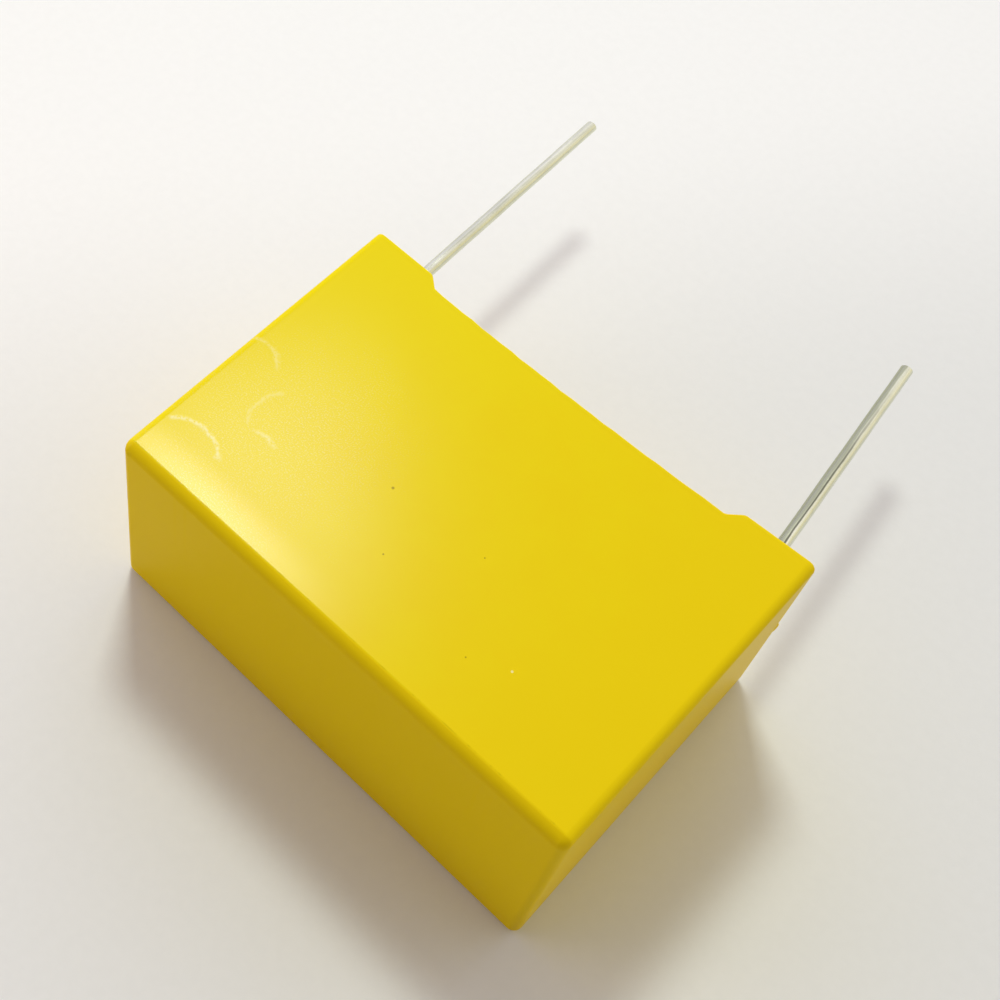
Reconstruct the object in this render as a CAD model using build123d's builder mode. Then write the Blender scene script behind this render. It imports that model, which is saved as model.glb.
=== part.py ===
"""Boxed film safety capacitor, lying on one wide face.

Millimetres. X runs along the lead pitch, Y from the closed end towards the leads and Z
up. The origin is the centre of the wide face that the case lies on, so the case spans
half its height either side of Y = 0 and stands from Z = 0 to its depth.
"""
import os
from math import radians, tan

from build123d import *

# ---- Driving dimensions ------------------------------------------------------------
# Moulded case
case_length = 31.5  # along X, at the mouth
case_height = 21.5  # along Y, closed end to the tops of the feet
case_depth = 15.0  # along Z
wall = 0.9  # side walls, at the mouth
closed_wall = 1.0  # closed end
end_draft = 0.5  # degrees that each end wall leans in by towards the closed end
core_draft = 0.5  # degrees that the inside narrows by towards the closed end
edge_radius = 0.55  # the four outer edges that run along Y
end_radius = 0.6  # the outer edges round the closed end
inner_radius = 0.45  # the inside corners that run along Y
lip_radius = 0.15  # the outer edge of the rim and of the feet

# Standoff feet: the end walls and their returns, with the long walls sunk between them
standoff = 0.9  # from the rim beside a foot up to the outer corner of the foot
foot_fall = 0.16  # how much lower a foot is at its inner end
foot_length = 4.5  # along the long walls
shoulder_run = 0.8  # length of the slope from a foot down to the rim
shoulder_radius = 0.4  # rounding at the top and bottom of that slope
rim_sag = 0.2  # how much lower the rim is midway between the feet

# Wound element, with a sprayed metal contact on each end
element_cover = 0.9  # resin between the element and the long walls, before the shift
element_floor_gap = 0.6  # resin between the element and the closed end
element_mouth_gap = 1.6  # resin between the element and the fill level
element_shift_x = -0.42  # the element sits a little off the middle of the case
element_shift_z = 0.6
contact_thickness = 0.6

# Tinned wire leads
lead_diameter = 0.8
lead_cover = 0.55  # resin between a lead and the end wall, before the shift
lead_free_left = 22.4  # from the tops of the feet to the cut end
lead_free_right = 20.4
weld_depth = 0.15  # how far a lead is sunk in its contact
weld_reach = 0.72  # share of the element's height that a lead is welded along
lead_exit_run = 2.4  # straight run above the resin, past the feet, before the bend
lead_bend_radius = 6.0
lead_lean_left = 1.4  # degrees that the left lead leans towards -X
lead_lean_right = 5.0  # degrees that the right lead leans towards -X

# Potting resin
resin_drop = 0.9  # from the rim beside a foot down to the resin at the wall
resin_dish = 0.25  # how much lower the resin is away from the wall
dish_rim = 0.35  # resin left standing along the wall
dish_slope = 1.1  # width of the slope down into the dish
meniscus = 0.45  # height and reach of the resin that climbs each lead

# ---- Sizes that follow --------------------------------------------------------------
closed_y = -case_height / 2
foot_y = case_height / 2
rim_y = foot_y - standoff
floor_y = closed_y + closed_wall
resin_wall_y = rim_y - resin_drop
resin_y = resin_wall_y - resin_dish
overcut = 1.0  # how far cutting solids run past the surfaces that they cut

inner_length = case_length - 2 * wall
inner_depth = case_depth - 2 * wall
lead_radius = lead_diameter / 2
lead_pitch = inner_length - 2 * (lead_cover + lead_radius)

centre_x = element_shift_x
centre_z = case_depth / 2 + element_shift_z
element_y0 = floor_y + element_floor_gap
element_y1 = resin_y - element_mouth_gap
element_height = element_y1 - element_y0
element_y = (element_y0 + element_y1) / 2
element_depth = inner_depth - 2 * element_cover
contact_face = lead_pitch / 2 - lead_radius + weld_depth
element_length = 2 * (contact_face - contact_thickness)


def across_y(y, x=0.0, z=case_depth / 2):
    """Plane square to Y at the given height, facing the mouth."""
    return Plane(origin=(x, y, z), x_dir=(1, 0, 0), z_dir=(0, 1, 0))


def build_lead(side, lean, free_length):
    """Round wire: welded run, straight exit through the resin, slight bend, cut end."""
    x = centre_x + side * lead_pitch / 2
    root_y = element_y1 - weld_reach * element_height
    bend_y = resin_y + lead_exit_run
    tip_y = foot_y + free_length
    tip_x = x - (tip_y - bend_y) * tan(radians(lean))
    with BuildPart() as lead:
        with BuildLine():
            path = FilletPolyline(
                (x, root_y, centre_z),
                (x, bend_y, centre_z),
                (tip_x, tip_y, centre_z),
                radius=lead_bend_radius,
            )
        with BuildSketch(Plane(origin=path @ 0, z_dir=path % 0)):
            Circle(lead_radius)
        sweep(path=path)
    return lead


def build_contact(side, lead):
    """Sprayed metal layer on one end of the element, grooved where its lead is welded."""
    inner_x = centre_x + side * element_length / 2
    end_plane = Plane(origin=(inner_x, element_y, centre_z), x_dir=(0, 1, 0), z_dir=(side, 0, 0))
    with BuildPart() as contact:
        with BuildSketch(end_plane):
            SlotOverall(element_height, element_depth)
        extrude(amount=contact_thickness)
        add(lead.part, mode=Mode.SUBTRACT)
    return contact


# ---- Leads, contacts and wound element ----------------------------------------------
lead_left = build_lead(-1, lead_lean_left, lead_free_left)
lead_right = build_lead(1, lead_lean_right, lead_free_right)
end_contact_left = build_contact(-1, lead_left)
end_contact_right = build_contact(1, lead_right)

with BuildPart() as film_winding:
    left_end = Plane(
        origin=(centre_x - element_length / 2, element_y, centre_z),
        x_dir=(0, 1, 0),
        z_dir=(1, 0, 0),
    )
    with BuildSketch(left_end):
        SlotOverall(element_height, element_depth)
    extrude(amount=element_length)

# ---- Inside of the case, shared by the case and the resin ---------------------------
with BuildPart() as cavity:
    taper = 2 * (foot_y + overcut - floor_y) * tan(radians(core_draft))
    with BuildSketch(across_y(floor_y)):
        RectangleRounded(inner_length - taper, inner_depth - taper, inner_radius)
    with BuildSketch(across_y(foot_y + overcut)):
        RectangleRounded(inner_length, inner_depth, inner_radius)
    loft(ruled=True)

# ---- Moulded case ---------------------------------------------------------------------
with BuildPart() as case:
    closed_length = case_length - 2 * case_height * tan(radians(end_draft))
    with BuildSketch():
        with BuildLine():
            Polyline(
                (-closed_length / 2, closed_y),
                (closed_length / 2, closed_y),
                (case_length / 2, foot_y),
                (-case_length / 2, foot_y),
                close=True,
            )
        make_face()
    extrude(amount=case_depth)
    side_edges = case.edges().group_by(Axis.Y)[1]
    fillet(side_edges, radius=edge_radius)
    fillet(case.edges().group_by(Axis.Y)[0], radius=end_radius)
    add(cavity.part, mode=Mode.SUBTRACT)
    # Sunken rim of the long walls, between the feet
    crest_x = case_length / 2 - foot_length
    outer_x = case_length / 2 + overcut
    with BuildSketch(Plane.XY.offset(-overcut)):
        with BuildLine():
            base_x = crest_x - shoulder_run
            outer_y = foot_y + foot_fall * overcut / foot_length
            crest_y = foot_y - foot_fall
            Polyline((-outer_x, outer_y), (-crest_x, crest_y), (-base_x, rim_y))
            ThreePointArc((-base_x, rim_y), (0, rim_y - rim_sag), (base_x, rim_y))
            Polyline((base_x, rim_y), (crest_x, crest_y), (outer_x, outer_y))
            above = foot_y + 2 * overcut
            Polyline((outer_x, outer_y), (outer_x, above), (-outer_x, above), (-outer_x, outer_y))
        shoulders = make_face().vertices().filter_by(lambda corner: abs(corner.X) < case_length / 2)
        fillet(shoulders, radius=shoulder_radius)
    extrude(amount=case_depth + 2 * overcut, mode=Mode.SUBTRACT)
    # Soft outer edge all round the mouth
    mouth_edges = case.edges().filter_by(
        lambda edge: edge.center().Y > rim_y - rim_sag - lip_radius
        and (
            abs(edge.center().X) > (inner_length + wall) / 2
            or abs(edge.center().Z - case_depth / 2) > (inner_depth + wall) / 2
        )
    )
    fillet(mouth_edges, radius=lip_radius)

# ---- Potting resin ----------------------------------------------------------------------
with BuildPart() as potting_resin:
    add(cavity.part)
    split(bisect_by=across_y(resin_wall_y), keep=Keep.BOTTOM)
    # Shallow dish away from the walls
    dish_length = inner_length - 2 * dish_rim
    dish_depth = inner_depth - 2 * dish_rim
    with BuildSketch(across_y(resin_wall_y)):
        RectangleRounded(dish_length, dish_depth, dish_slope)
    with BuildSketch(across_y(resin_y)):
        RectangleRounded(dish_length - 2 * dish_slope, dish_depth - 2 * dish_slope, dish_slope / 2)
    loft(ruled=True, mode=Mode.SUBTRACT)
    for lead_x in (centre_x - lead_pitch / 2, centre_x + lead_pitch / 2):
        # Resin drawn up each lead in a hollow curve
        with BuildSketch(Plane(origin=(lead_x, resin_y, centre_z), z_dir=(0, 0, 1))):
            with BuildLine():
                foot_of_curve = (lead_radius + meniscus, 0)
                head_of_curve = (lead_radius, meniscus)
                Polyline(
                    head_of_curve,
                    (0, meniscus),
                    (0, -meniscus),
                    (foot_of_curve[0], -meniscus),
                    foot_of_curve,
                )
                RadiusArc(foot_of_curve, head_of_curve, meniscus)
            make_face()
        revolve(axis=Axis((lead_x, 0, centre_z), (0, 1, 0)))
    add(cavity.part, mode=Mode.INTERSECT)
    for inside in (film_winding, end_contact_left, end_contact_right, lead_left, lead_right):
        add(inside.part, mode=Mode.SUBTRACT)

# ---- Write one STEP for each piece -------------------------------------------------------
pieces = {
    "case": case,
    "potting_resin": potting_resin,
    "film_winding": film_winding,
    "end_contact_left": end_contact_left,
    "end_contact_right": end_contact_right,
    "lead_left": lead_left,
    "lead_right": lead_right,
}
os.makedirs("parts", exist_ok=True)
for name, piece in pieces.items():
    piece.part.label = name
    export_step(piece.part, f"parts/{name}.step")
    print(f"{name}: {piece.part.volume:.1f} mm3")
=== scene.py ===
"""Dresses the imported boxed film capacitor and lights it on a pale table.

The case, the potting resin and both leads are modelled again in finer detail over their CAD
nodes, which stay in the frame for collision. The wound element and its sprayed contacts are
shut inside the case and only get their finishes. Lengths are metres in the frame's own axes:
X along the lead pitch, Y from the closed end towards the leads and Z up.
"""

import logging
from dataclasses import dataclass
from enum import Enum
from math import atan2, cos, radians, sin, tan
from typing import Any, Callable, Optional, Sequence, Union

import bmesh
import bpy
from mathutils import Matrix, Vector


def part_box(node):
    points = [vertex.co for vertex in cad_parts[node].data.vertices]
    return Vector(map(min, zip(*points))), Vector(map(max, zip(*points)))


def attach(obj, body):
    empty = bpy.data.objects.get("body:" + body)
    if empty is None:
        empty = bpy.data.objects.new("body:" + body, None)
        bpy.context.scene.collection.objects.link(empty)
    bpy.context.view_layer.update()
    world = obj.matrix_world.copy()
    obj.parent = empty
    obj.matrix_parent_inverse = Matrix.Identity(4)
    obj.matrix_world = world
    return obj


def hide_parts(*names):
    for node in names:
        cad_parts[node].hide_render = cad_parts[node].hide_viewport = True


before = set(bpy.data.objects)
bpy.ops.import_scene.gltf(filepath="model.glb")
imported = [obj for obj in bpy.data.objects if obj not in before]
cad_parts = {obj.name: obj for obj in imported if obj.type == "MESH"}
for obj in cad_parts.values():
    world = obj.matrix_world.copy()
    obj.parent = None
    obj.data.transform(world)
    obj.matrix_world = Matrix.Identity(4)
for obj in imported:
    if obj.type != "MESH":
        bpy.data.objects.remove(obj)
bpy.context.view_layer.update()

Span = tuple[float, float]
Triple = tuple[float, float, float]
Key = Union[int, str]

MM = 0.001
NEAR = 0.004 * MM  # places this close together count as the same
LONG = 10 * MM  # an edge longer than this runs the whole height of its piece
FACING = 0.9  # share of a direction along an axis, from which it counts as that axis
log = logging.getLogger("capacitor")


# ---- Node graphs ---------------------------------------------------------------------------
def find_socket(sockets: Any, key: Key) -> bpy.types.NodeSocket:
    """Finds one socket of a node.

    Args:
        sockets: The node's inputs or outputs.
        key: Number, identifier or name.

    Returns:
        The socket.
    """
    if isinstance(key, int):
        return sockets[key]
    return next(socket for socket in sockets if key in (socket.identifier, socket.name))


class Wire:
    """One output of a node, which takes part in sums as a plain value would."""

    def __init__(self, graph: "Graph", node: bpy.types.Node, output: Key = 0) -> None:
        """Keeps the graph, the node and the chosen output.

        Args:
            graph: Graph that the node belongs to.
            node: Node that the value comes from; one that ends a graph has no output.
            output: Number, identifier or name of the output.
        """
        self.graph = graph
        self.node = node
        self.socket = find_socket(node.outputs, output) if node.outputs else None

    def also(self, output: Key) -> "Wire":
        """Returns another output of the same node."""
        return Wire(self.graph, self.node, output)

    def _math(self, operation: str, first: Any, second: Any = 0.0) -> "Wire":
        """Returns the result of one Math node on two values."""
        settings = {"operation": operation}
        return self.graph.node("ShaderNodeMath", settings, {0: first, 1: second})

    def __add__(self, other: Any) -> "Wire":
        """Returns self + other."""
        return self._math("ADD", self, other)

    __radd__ = __add__

    def __sub__(self, other: Any) -> "Wire":
        """Returns self - other."""
        return self._math("SUBTRACT", self, other)

    def __rsub__(self, other: Any) -> "Wire":
        """Returns other - self."""
        return self._math("SUBTRACT", other, self)

    def __mul__(self, other: Any) -> "Wire":
        """Returns self * other."""
        return self._math("MULTIPLY", self, other)

    __rmul__ = __mul__

    def __truediv__(self, other: Any) -> "Wire":
        """Returns self / other."""
        return self._math("DIVIDE", self, other)

    def __abs__(self) -> "Wire":
        """Returns the size of self."""
        return self._math("ABSOLUTE", self)

    def power(self, exponent: float) -> "Wire":
        """Returns self raised to an exponent."""
        return self._math("POWER", self, exponent)

    def most(self, other: Any) -> "Wire":
        """Returns the greater of self and other."""
        return self._math("MAXIMUM", self, other)


@dataclass(frozen=True)
class Grain:
    """A texture of noise: its grains to a millimetre, its finer layers and their strength."""

    scale: float
    detail: float = 2.0
    rough: float = 0.5


class Graph:
    """The node tree of one material or world, filled through a single method."""

    def __init__(self, name: str, library: Any = None) -> None:
        """Opens an empty node tree.

        Args:
            name: Name of the material or world.
            library: Where it is added; materials unless said otherwise.
        """
        self.owner = (bpy.data.materials if library is None else library).new(name)
        self.owner.use_nodes = True
        self.tree = self.owner.node_tree
        self.tree.nodes.clear()

    def node(
        self,
        kind: str,
        settings: Optional[dict[str, Any]] = None,
        sockets: Optional[dict[Key, Any]] = None,
        output: Key = 0,
    ) -> Wire:
        """Adds a node, sets it up and feeds it.

        Args:
            kind: Node type, such as ShaderNodeTexNoise.
            settings: Properties of the node, set first.
            sockets: Value or wire for each input, by number, identifier or name.
            output: Output that the returned wire stands for.

        Returns:
            Wire from the chosen output.
        """
        node = self.tree.nodes.new(kind)
        for name, value in (settings or {}).items():
            setattr(node, name, value)
        for key, value in (sockets or {}).items():
            socket = find_socket(node.inputs, key)
            if isinstance(value, Wire):
                self.tree.links.new(value.socket, socket)
            elif socket.type == "RGBA":
                socket.default_value = (*value, 1.0)
            else:
                socket.default_value = value
        return Wire(self, node, output)

    def place(self) -> Wire:
        """Returns the point being shaded, in millimetres in the frame's axes."""
        sockets = {0: self.node("ShaderNodeTexCoord", output="Object"), "Scale": 1.0 / MM}
        return self.node("ShaderNodeVectorMath", {"operation": "SCALE"}, sockets)

    def axes(self, point: Wire) -> tuple[Wire, Wire, Wire]:
        """Returns the three coordinates of a point."""
        x = self.node("ShaderNodeSeparateXYZ", None, {0: point})
        return x, x.also("Y"), x.also("Z")

    def point(self, x: Any, y: Any, z: Any) -> Wire:
        """Returns the point with three coordinates."""
        return self.node("ShaderNodeCombineXYZ", None, {0: x, 1: y, 2: z})

    def oval(self, x: Wire, y: Wire, centre: Span, radii: Span) -> tuple[Wire, Wire, Wire]:
        """Measures how far a place lies from the middle of an oval, in the oval's radii.

        Args:
            x: First coordinate of the place.
            y: Second coordinate of the place.
            centre: Middle of the oval.
            radii: Half its width along each coordinate.

        Returns:
            Wires along the first radius, along the second and straight out.
        """
        across, along = (x - centre[0]) / radii[0], (y - centre[1]) / radii[1]
        return across, along, (across * across + along * along).power(0.5)

    def noise(self, point: Wire, grain: Grain) -> Wire:
        """Makes noise.

        Args:
            point: Point that it is read at.
            grain: Its texture.

        Returns:
            Wire from 0 to 1.
        """
        sockets = {
            "Vector": point, "Scale": grain.scale, "Detail": grain.detail, "Roughness": grain.rough
        }
        return self.node("ShaderNodeTexNoise", None, sockets, "Fac")

    def step(self, value: Any, span: Span = (0.0, 1.0)) -> Wire:
        """Makes a soft step from 0 to 1.

        Args:
            value: Wire that is read.
            span: Values where it starts and ends; it starts above its end for a falling step.

        Returns:
            Wire that runs from 0 to 1.
        """
        sockets = {"Value": value, "From Min": span[0], "From Max": span[1]}
        return self.node("ShaderNodeMapRange", {"interpolation_type": "SMOOTHSTEP"}, sockets)

    def mix(self, share: Any, first: Any, second: Any, blend: str = "MIX") -> Wire:
        """Mixes two colours.

        Args:
            share: Share of the second one.
            first: Colour, or wire with one.
            second: Colour, or wire with one.
            blend: How the second one goes over the first.

        Returns:
            Wire with the mixed colour.
        """
        settings = {"data_type": "RGBA", "blend_type": blend}
        sockets = {"Factor_Float": share, "A_Color": first, "B_Color": second}
        return self.node("ShaderNodeMix", settings, sockets, "Result_Color")

    def bump(self, height: Wire, distance: float, under: Optional[Wire] = None) -> Wire:
        """Makes a relief.

        Args:
            height: Height from 0 to 1.
            distance: Height in millimetres that 1 stands for.
            under: Normal of the relief that this one lies on.

        Returns:
            Wire with the bent normal.
        """
        sockets: dict[Key, Any] = {"Height": height, "Distance": distance * MM, "Strength": 1.0}
        if under is not None:
            sockets["Normal"] = under
        return self.node("ShaderNodeBump", None, sockets)

    def close(self, sockets: dict[Key, Any]) -> bpy.types.Material:
        """Ends the graph in one Principled shader.

        Args:
            sockets: Values and wires of the shader's inputs.

        Returns:
            The finished material.
        """
        shader = self.node("ShaderNodeBsdfPrincipled", None, sockets)
        self.node("ShaderNodeOutputMaterial", None, {"Surface": shader})
        return self.owner


# ---- Finishes ------------------------------------------------------------------------------
def around(place: float, span: Span) -> Span:
    """Returns a span that is measured from a place."""
    return place + span[0], place + span[1]


@dataclass(frozen=True)
class Scuff:
    """A pale rub mark on the upper face: an oval's outline, in millimetres.

    It shows only on one side of the oval, given by towards, and on less of it the nearer
    spread is to 1.
    """

    centre: Span
    radii: Span
    towards: Span
    spread: float
    width: float
    strength: float


@dataclass(frozen=True)
class Speck:
    """A tiny round dot on the upper face, dark or pale, in millimetres."""

    place: Span
    radius: float
    pale: bool = False


@dataclass(frozen=True)
class MouldedYellow:
    """Yellow flame-retardant polyester with a fine mould grain, specks and rub marks, and with
    painted light: a deeper orange painted shade on every face but the upper one, pale dots that are
    partly painted glints, and a line of painted shade along the crease.
    """

    colour: Triple = (0.838, 0.672, 0.004)
    deep: Triple = (0.835, 0.618, 0.003)
    # Painted shade: every face but the upper one takes this deeper orange instead of the upper
    # face's yellow, for how light falls on them
    side: Triple = (0.835, 0.605, 0.004)
    pale: Triple = (0.93, 0.87, 0.46)
    # Colour of the dark specks, and of the painted shade along the crease
    dark: Triple = (0.30, 0.19, 0.004)
    roughness: float = 0.28
    ior: float = 1.045
    coat: float = 0.038
    coat_roughness: float = 0.19
    coat_ior: float = 2.0
    # Where the upper face starts, below its height and beside its crease
    top_band: Span = (-0.55, -0.3)
    crease_band: Span = (-0.08, 0.02)
    # Colour from the light to the deep yellow
    cloud: Grain = Grain(0.22, 3.0, 0.55)
    mottle: Grain = Grain(1.6, 4.0, 0.6)
    tone_run: float = 0.032
    tone_cloud: float = 0.8
    tone_mottle: float = 0.3
    tone_start: float = -0.05
    # Mould grain, strong where the face is worn
    grain: Grain = Grain(9.0, 3.0, 0.7)
    grain_height: float = 0.018
    grain_worn: float = 0.9
    grain_plain: float = 0.1
    swell: Grain = Grain(0.28, 1.0)
    swell_height: float = 0.02
    mottle_rough: float = 0.08
    # Worn patch and its pale dots, which are partly dust and partly painted glints, the glints
    # strongest in the polished corner's highlight
    worn_middle: Span = (-10.0, -4.5)
    worn_radii: Span = (9.0, 11.0)
    worn_patch: Grain = Grain(0.5)
    worn_ragged: float = 0.4
    worn_span: Span = (1.2, 0.3)
    fleck: Grain = Grain(11.0, 2.0, 0.7)
    fleck_span: Span = (0.52, 0.66)
    fleck_share: float = 0.40
    painted_glint_share: float = 0.35
    # Polished corner, measured from the crease and along the face
    gloss_band: Span = (2.4, 0.1)
    gloss_run: Span = (3.0, -9.0)
    gloss_coat: float = 0.066
    gloss_grain: float = 2.6
    gloss_start: float = -0.5
    # Thin broken line of painted shade along the crease
    crease_wave: Grain = Grain(0.9, 3.0, 0.6)
    crease_sway: float = 0.10
    crease_line: Span = (0.055, 0.01)
    nick: Grain = Grain(1.1, 3.0, 0.7)
    nick_row: float = 3.0
    nick_span: Span = (0.50, 0.66)
    nick_share: float = 0.45
    crease_share: float = 0.05
    crease_shade_strength: float = 0.7
    # Rub marks and specks
    wander: Grain = Grain(1.3)
    wander_reach: Span = (0.5, 0.45)
    ragged: Grain = Grain(6.0, 3.0, 0.65)
    ragged_span: Span = (0.34, 0.55)
    scuff_fade: float = 0.25
    mark_rough: float = 0.2
    mark_height: float = 0.012
    mark_raised: float = 0.6
    speck_edge: Span = (1.0, 0.5)
    pale_share: float = 0.8
    dark_share: float = 0.7
    scuffs: tuple[Scuff, ...] = (
        Scuff((-13.0, -8.2), (2.0, 1.35), (0.0, 1.0), 0.25, 0.28, 0.7),
        Scuff((-10.2, -6.2), (1.5, 1.5), (0.0, 1.0), 0.75, 0.22, 0.6),
        Scuff((-14.6, -2.2), (2.0, 2.0), (0.2, 1.0), 0.6, 0.20, 0.4),
        Scuff((-10.4, -3.4), (1.75, 1.9), (-1.0, 0.0), 0.55, 0.20, 0.35),
    )
    specks: tuple[Speck, ...] = (
        Speck((-3.2, -2.05), 0.11),
        Speck((-0.9, -5.4), 0.07),
        Speck((3.0, -1.7), 0.06),
        Speck((5.9, -6.7), 0.06),
        Speck((8.05, -5.6), 0.09, pale=True),
    )

    def _marks(self, graph: Graph, point: Wire) -> Wire:
        """Draws all rub marks together, ragged along their length.

        Args:
            graph: Graph that they are drawn in.
            point: Point being shaded.

        Returns:
            How strongly they show, from 0 up.
        """
        x, y, _ = graph.axes(point)
        wander = graph.noise(point, self.wander) - 0.5
        x, y = x + wander * self.wander_reach[0], y + wander * self.wander_reach[1]
        total: Any = 0.0
        for scuff in self.scuffs:
            across, along, reach = graph.oval(x, y, scuff.centre, scuff.radii)
            line = graph.step(abs(reach - 1.0), (scuff.width / scuff.radii[0], 0.0))
            towards = Vector(scuff.towards).normalized()
            facing = (across * towards.x + along * towards.y) / reach
            shown = graph.step(facing, around(scuff.spread, (0.0, self.scuff_fade)))
            total = line * shown * scuff.strength + total
        return total * graph.step(graph.noise(point, self.ragged), self.ragged_span)

    def _dots(self, graph: Graph, point: Wire, pale: bool) -> Wire:
        """Draws the pale or the dark specks together.

        Args:
            graph: Graph that they are drawn in.
            point: Point being shaded.
            pale: Whether the pale ones are wanted.

        Returns:
            1 inside a speck and 0 away from them.
        """
        x, y, _ = graph.axes(point)
        total: Any = 0.0
        for speck in self.specks:
            if speck.pale == pale:
                reach = graph.oval(x, y, speck.place, (speck.radius, speck.radius))[2]
                total = graph.step(reach, self.speck_edge) + total
        return total

    def _worn(self, graph: Graph, point: Wire) -> Wire:
        """Marks out the worn patch near one corner, where the grain is strong and the pale dots of
        dust and painted glints show.

        Args:
            graph: Graph that it is drawn in.
            point: Point being shaded.

        Returns:
            How worn the face is, from 0 to 1.
        """
        x, y, _ = graph.axes(point)
        reach = graph.oval(x, y, self.worn_middle, self.worn_radii)[2]
        ragged = graph.noise(point, self.worn_patch) * self.worn_ragged
        return graph.step(reach + ragged, self.worn_span)

    def _painted_crease_shade(self, graph: Graph, point: Wire, line_y: float) -> Wire:
        """Paints the thin broken line of shade in the crease where the upper face ends at the
        closed end's edge.

        Args:
            graph: Graph that it is drawn in.
            point: Point being shaded.
            line_y: Y of the line, in millimetres.

        Returns:
            How dark the line is.
        """
        x, y, _ = graph.axes(point)
        wave = graph.noise(graph.point(x, 0.0, 0.0), self.crease_wave) - 0.5
        line = graph.step(abs(y - line_y + wave * self.crease_sway), self.crease_line)
        nick = graph.noise(graph.point(x, self.nick_row, 0.0), self.nick)
        return line * (graph.step(nick, self.nick_span) * self.nick_share + self.crease_share)

    def build(self, name: str, line_y: float, top: float) -> bpy.types.Material:
        """Makes the material.

        Args:
            name: Name of the material.
            line_y: Y of the crease at the closed end, in millimetres.
            top: Height of the upper face, in millimetres.

        Returns:
            The finished material.
        """
        graph = Graph(name)
        point = graph.place()
        x, y, z = graph.axes(point)
        on_top = graph.step(z, around(top, self.top_band))
        on_top = on_top * graph.step(y, around(line_y, self.crease_band))
        marks = self._marks(graph, point) * on_top
        # Painted shade along the crease, drawn in the dark colour together with the dark specks
        crease = self._painted_crease_shade(graph, point, line_y) * self.crease_shade_strength
        dark = (self._dots(graph, point, pale=False) + crease) * on_top
        pale = self._dots(graph, point, pale=True) * on_top
        worn = self._worn(graph, point) * on_top
        mottle = graph.noise(point, self.mottle)
        grain = graph.noise(point, self.grain)
        dust_and_glint_flecks = graph.step(graph.noise(point, self.fleck), self.fleck_span) * worn
        gloss = graph.step(y, around(line_y, self.gloss_band)) * graph.step(x, self.gloss_run)
        gloss = gloss * on_top

        share = x * self.tone_run + graph.noise(point, self.cloud) * self.tone_cloud
        share = share + mottle * self.tone_mottle + self.tone_start
        colour = graph.mix(graph.step(share), self.colour, self.deep)
        # Painted shade: every face but the upper one takes the shaded side colour
        colour = graph.mix(on_top, self.side, colour)
        # Painted glints: pale dots in the worn patch, partly dust, with more of them in the
        # highlight of the polished corner
        painted_glints = dust_and_glint_flecks * (gloss * self.painted_glint_share + self.fleck_share)
        light = marks.most(painted_glints).most(pale * self.pale_share)
        colour = graph.mix(light, colour, self.pale)
        colour = graph.mix(dark * self.dark_share, colour, self.dark)
        uneven = (mottle - 0.5) * on_top * self.mottle_rough + marks * self.mark_rough
        rise = grain * (worn * self.grain_worn + on_top * self.grain_plain)
        relief = graph.bump(graph.noise(point, self.swell), self.swell_height)
        relief = graph.bump(rise, self.grain_height, relief)
        relief = graph.bump(marks * self.mark_raised - dark, self.mark_height, relief)
        polish = gloss * (grain * self.gloss_grain + self.gloss_start) * self.gloss_coat
        return graph.close({
            "Base Color": colour,
            "Roughness": uneven + self.roughness,
            "Normal": relief,
            "IOR": self.ior,
            "Coat Weight": polish + self.coat,
            "Coat Roughness": self.coat_roughness,
            "Coat IOR": self.coat_ior,
        })


@dataclass(frozen=True)
class PottedResin:
    """Amber-yellow epoxy that has set glossy, with small bubbles and flow marks, the bubble pits
    painted darker as shade.
    """

    colour: Triple = (0.52, 0.33, 0.02)
    thin: Triple = (0.66, 0.45, 0.035)
    # Painted shade: colour inside the bubble pits
    hollow: Triple = (0.28, 0.16, 0.01)
    roughness: float = 0.16
    coat: float = 0.25
    coat_roughness: float = 0.06
    flow: Grain = Grain(0.45, 3.0, 0.55)
    flow_span: Span = (0.3, 0.7)
    flow_height: float = 0.10
    dust: Grain = Grain(9.0, 3.0, 0.65)
    dust_span: Span = (0.45, 0.8)
    dust_rough: float = 0.18
    dust_raised: float = 0.15
    dust_height: float = 0.03
    # Bubbles: one chance of a size in each cell, and most of them come out tiny
    cell_scale: float = 0.9
    bubble_rarity: float = 4.0
    bubble_size: Span = (0.30, 0.001)
    bubble_edge: Span = (1.0, 0.7)
    bubble_shade_share: float = 0.5

    def build(self, name: str) -> bpy.types.Material:
        """Makes the material.

        Args:
            name: Name of the material.

        Returns:
            The finished material.
        """
        graph = Graph(name)
        point = graph.place()
        flow = graph.noise(point, self.flow)
        dust = graph.noise(point, self.dust)
        sockets = {"Vector": point, "Scale": self.cell_scale}
        cell = graph.node("ShaderNodeTexVoronoi", None, sockets, "Distance")
        lot = graph.axes(cell.also("Color"))[0].power(self.bubble_rarity)
        bubble = cell / (lot * self.bubble_size[0] + self.bubble_size[1])
        bubble = graph.step(bubble, self.bubble_edge)
        colour = graph.mix(graph.step(flow, self.flow_span), self.colour, self.thin)
        relief = graph.bump(flow, self.flow_height)
        relief = graph.bump(dust * self.dust_raised - bubble, self.dust_height, relief)
        return graph.close({
            # Painted shade in the bubble pits
            "Base Color": graph.mix(bubble * self.bubble_shade_share, colour, self.hollow),
            "Roughness": graph.step(dust, self.dust_span) * self.dust_rough + self.roughness,
            "Normal": relief,
            "Coat Weight": self.coat,
            "Coat Roughness": self.coat_roughness,
        })


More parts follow.
